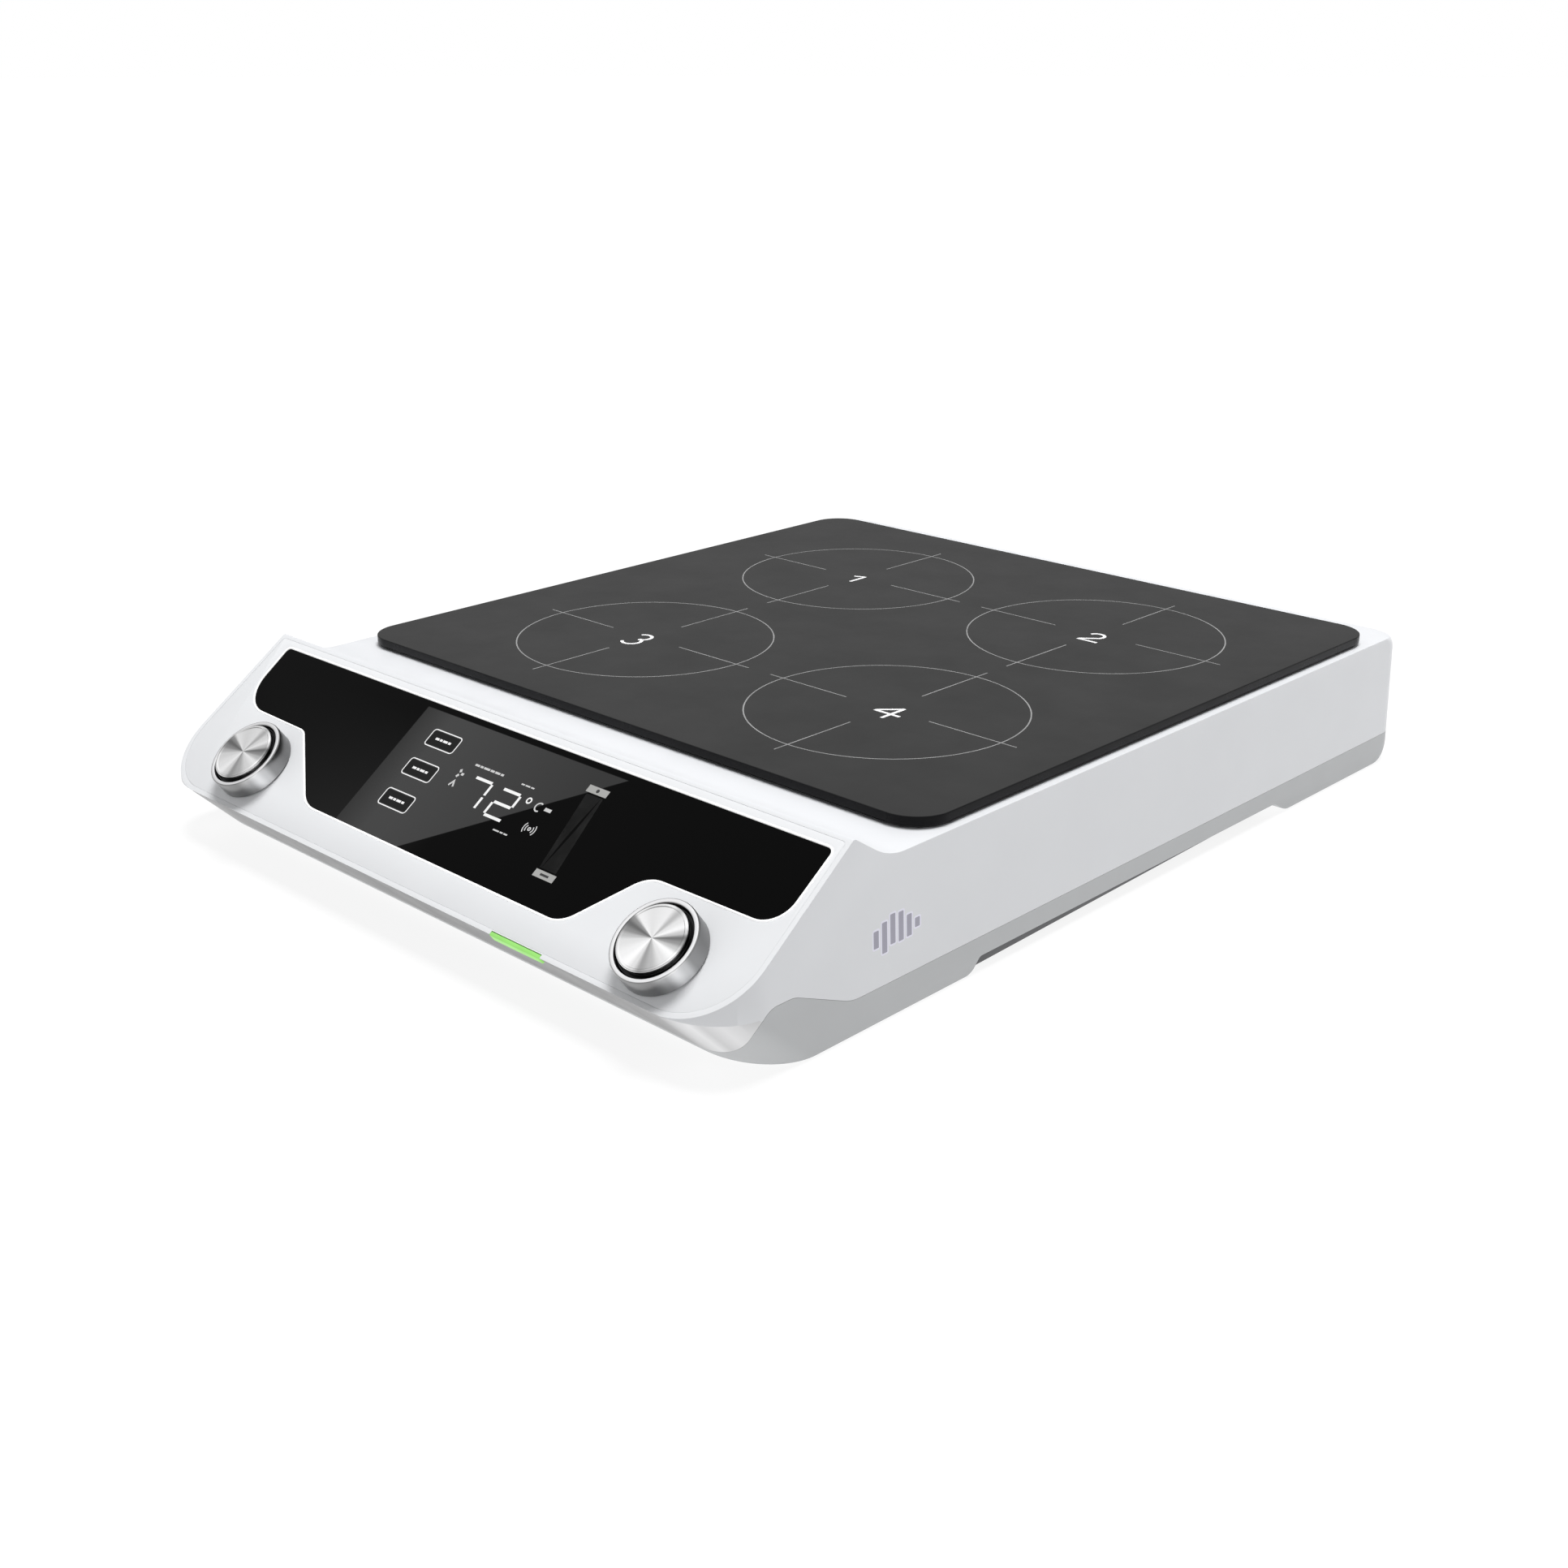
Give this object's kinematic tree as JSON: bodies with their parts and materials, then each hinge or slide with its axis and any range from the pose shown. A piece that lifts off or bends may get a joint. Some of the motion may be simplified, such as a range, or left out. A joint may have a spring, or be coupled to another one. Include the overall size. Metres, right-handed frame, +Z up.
{
  "type": "magnetic stirrer",
  "caption": "Flat multi-place magnetic stirrer with a dark glass top marked with circles, and a sloped front console with a wide dark window between round knobs.",
  "frame": {"origin": "on the surface the stirrer stands on, at the middle of its plan", "axes": "+Z up, the console faces -Y, +X to the right of a reader in front of it"},
  "size_m": [0.3344, 0.4388, 0.07],
  "materials": {
    "white_housing": "fine satin",
    "grey_panel": "fine satin",
    "grey_base": "satin",
    "white_trim": "gloss",
    "black_plastic": "satin",
    "sound_insert": "matte",
    "black_rubber": "matte",
    "ceramic_glass": "etched satin",
    "window_glass": "polished",
    "steel": "plated",
    "dark_steel": "fine texture",
    "aluminium": "spun",
    "magnet_nickel": "nickel plated",
    "mica_heater": "pressed mica",
    "ceramic_fibre": "felted",
    "circuit_board": "solder mask",
    "brass": "plain",
    "green_light": "lit light guide"
  },
  "bodies": {
    "housing": {"upper_housing": "white_housing", "base_tray": "grey_base", "bottom_cover": "dark_steel", "case_screw_1": "steel", "case_screw_2": "steel", "case_screw_3": "steel", "case_screw_4": "steel", "foot_front_left": "black_rubber", "foot_front_right": "black_rubber", "foot_rear_left": "black_rubber", "foot_rear_right": "black_rubber", "glass_plate": "ceramic_glass", "plate_gasket": "black_rubber", "insulation_sheet": "ceramic_fibre", "heat_shield": "aluminium", "heater_disc_1": "mica_heater", "heater_disc_2": "mica_heater", "heater_disc_3": "mica_heater", "heater_disc_4": "mica_heater", "motor_1": "dark_steel", "motor_2": "dark_steel", "motor_3": "dark_steel", "motor_4": "dark_steel", "front_fascia": "grey_panel", "window_trim": "white_trim", "display_window": "window_glass", "display_module": "black_plastic", "display_board": "circuit_board", "status_light": "green_light", "left_encoder": "dark_steel", "right_encoder": "dark_steel", "sound_insert": "sound_insert", "sounder": "black_plastic", "motor_plate": "steel", "main_board": "circuit_board", "heat_sink": "aluminium", "power_supply": "aluminium", "fan_frame": "black_plastic", "power_inlet": "black_plastic", "switch_body": "black_plastic"},
    "left_knob": {"left_knob_ring": "aluminium", "left_knob_core": "black_plastic"},
    "left_push": {"left_knob_cap": "aluminium", "left_encoder_shaft": "steel"},
    "right_knob": {"right_knob_ring": "aluminium", "right_knob_core": "black_plastic"},
    "right_push": {"right_knob_cap": "aluminium", "right_encoder_shaft": "steel"},
    "stirrer_1": {"rotor_1": "aluminium", "bar_magnet_1": "magnet_nickel"},
    "stirrer_2": {"rotor_2": "aluminium", "bar_magnet_2": "magnet_nickel"},
    "stirrer_3": {"rotor_3": "aluminium", "bar_magnet_3": "magnet_nickel"},
    "stirrer_4": {"rotor_4": "aluminium", "bar_magnet_4": "magnet_nickel"},
    "fan": {"fan_rotor": "black_plastic"},
    "rocker": {"power_rocker": "black_plastic"},
    "fuse_carrier": {"fuse_drawer": "black_plastic", "fuse": "brass"}
  },
  "joints": [
    {"name": "left_knob_turn", "type": "hinge", "parent": "housing", "child": "left_knob", "pos_m": [-0.1148, -0.20036, 0.03509], "axis": [0, -0.5878, 0.809], "continuous": true},
    {"name": "left_knob_press", "type": "slide", "parent": "left_knob", "child": "left_push", "axis": [0, 0.5878, -0.809], "range_m": [0, 0.0012], "stiffness_N_per_m": 3000, "springref_m": -0.0004},
    {"name": "right_knob_turn", "type": "hinge", "parent": "housing", "child": "right_knob", "pos_m": [0.1278, -0.20157, 0.0342], "axis": [0, -0.5878, 0.809], "continuous": true},
    {"name": "right_knob_press", "type": "slide", "parent": "right_knob", "child": "right_push", "axis": [0, 0.5878, -0.809], "range_m": [0, 0.0012], "stiffness_N_per_m": 3000, "springref_m": -0.0004},
    {"name": "stirrer_1_spin", "type": "hinge", "parent": "housing", "child": "stirrer_1", "pos_m": [-0.0644, 0.106, 0.03], "axis": [0, 0, 1], "continuous": true},
    {"name": "stirrer_2_spin", "type": "hinge", "parent": "housing", "child": "stirrer_2", "pos_m": [0.0756, 0.106, 0.03], "axis": [0, 0, 1], "continuous": true},
    {"name": "stirrer_3_spin", "type": "hinge", "parent": "housing", "child": "stirrer_3", "pos_m": [-0.0644, -0.034, 0.03], "axis": [0, 0, 1], "continuous": true},
    {"name": "stirrer_4_spin", "type": "hinge", "parent": "housing", "child": "stirrer_4", "pos_m": [0.0756, -0.034, 0.03], "axis": [0, 0, 1], "continuous": true},
    {"name": "fan_spin", "type": "hinge", "parent": "housing", "child": "fan", "pos_m": [0.104, 0.2102, 0.0355], "axis": [0, 1, 0], "continuous": true},
    {"name": "power_rock", "type": "hinge", "parent": "housing", "child": "rocker", "pos_m": [-0.078, 0.215, 0.036], "axis": [1, 0, 0], "range_deg": [0, 16]},
    {"name": "fuse_drawer_slide", "type": "slide", "parent": "housing", "child": "fuse_carrier", "axis": [0, 1, 0], "range_m": [0, 0.018]}
  ],
  "couplings": [
    {"joint": "stirrer_2_spin", "follows": "stirrer_1_spin", "ratio": 1},
    {"joint": "stirrer_3_spin", "follows": "stirrer_1_spin", "ratio": 1},
    {"joint": "stirrer_4_spin", "follows": "stirrer_1_spin", "ratio": 1}
  ]
}
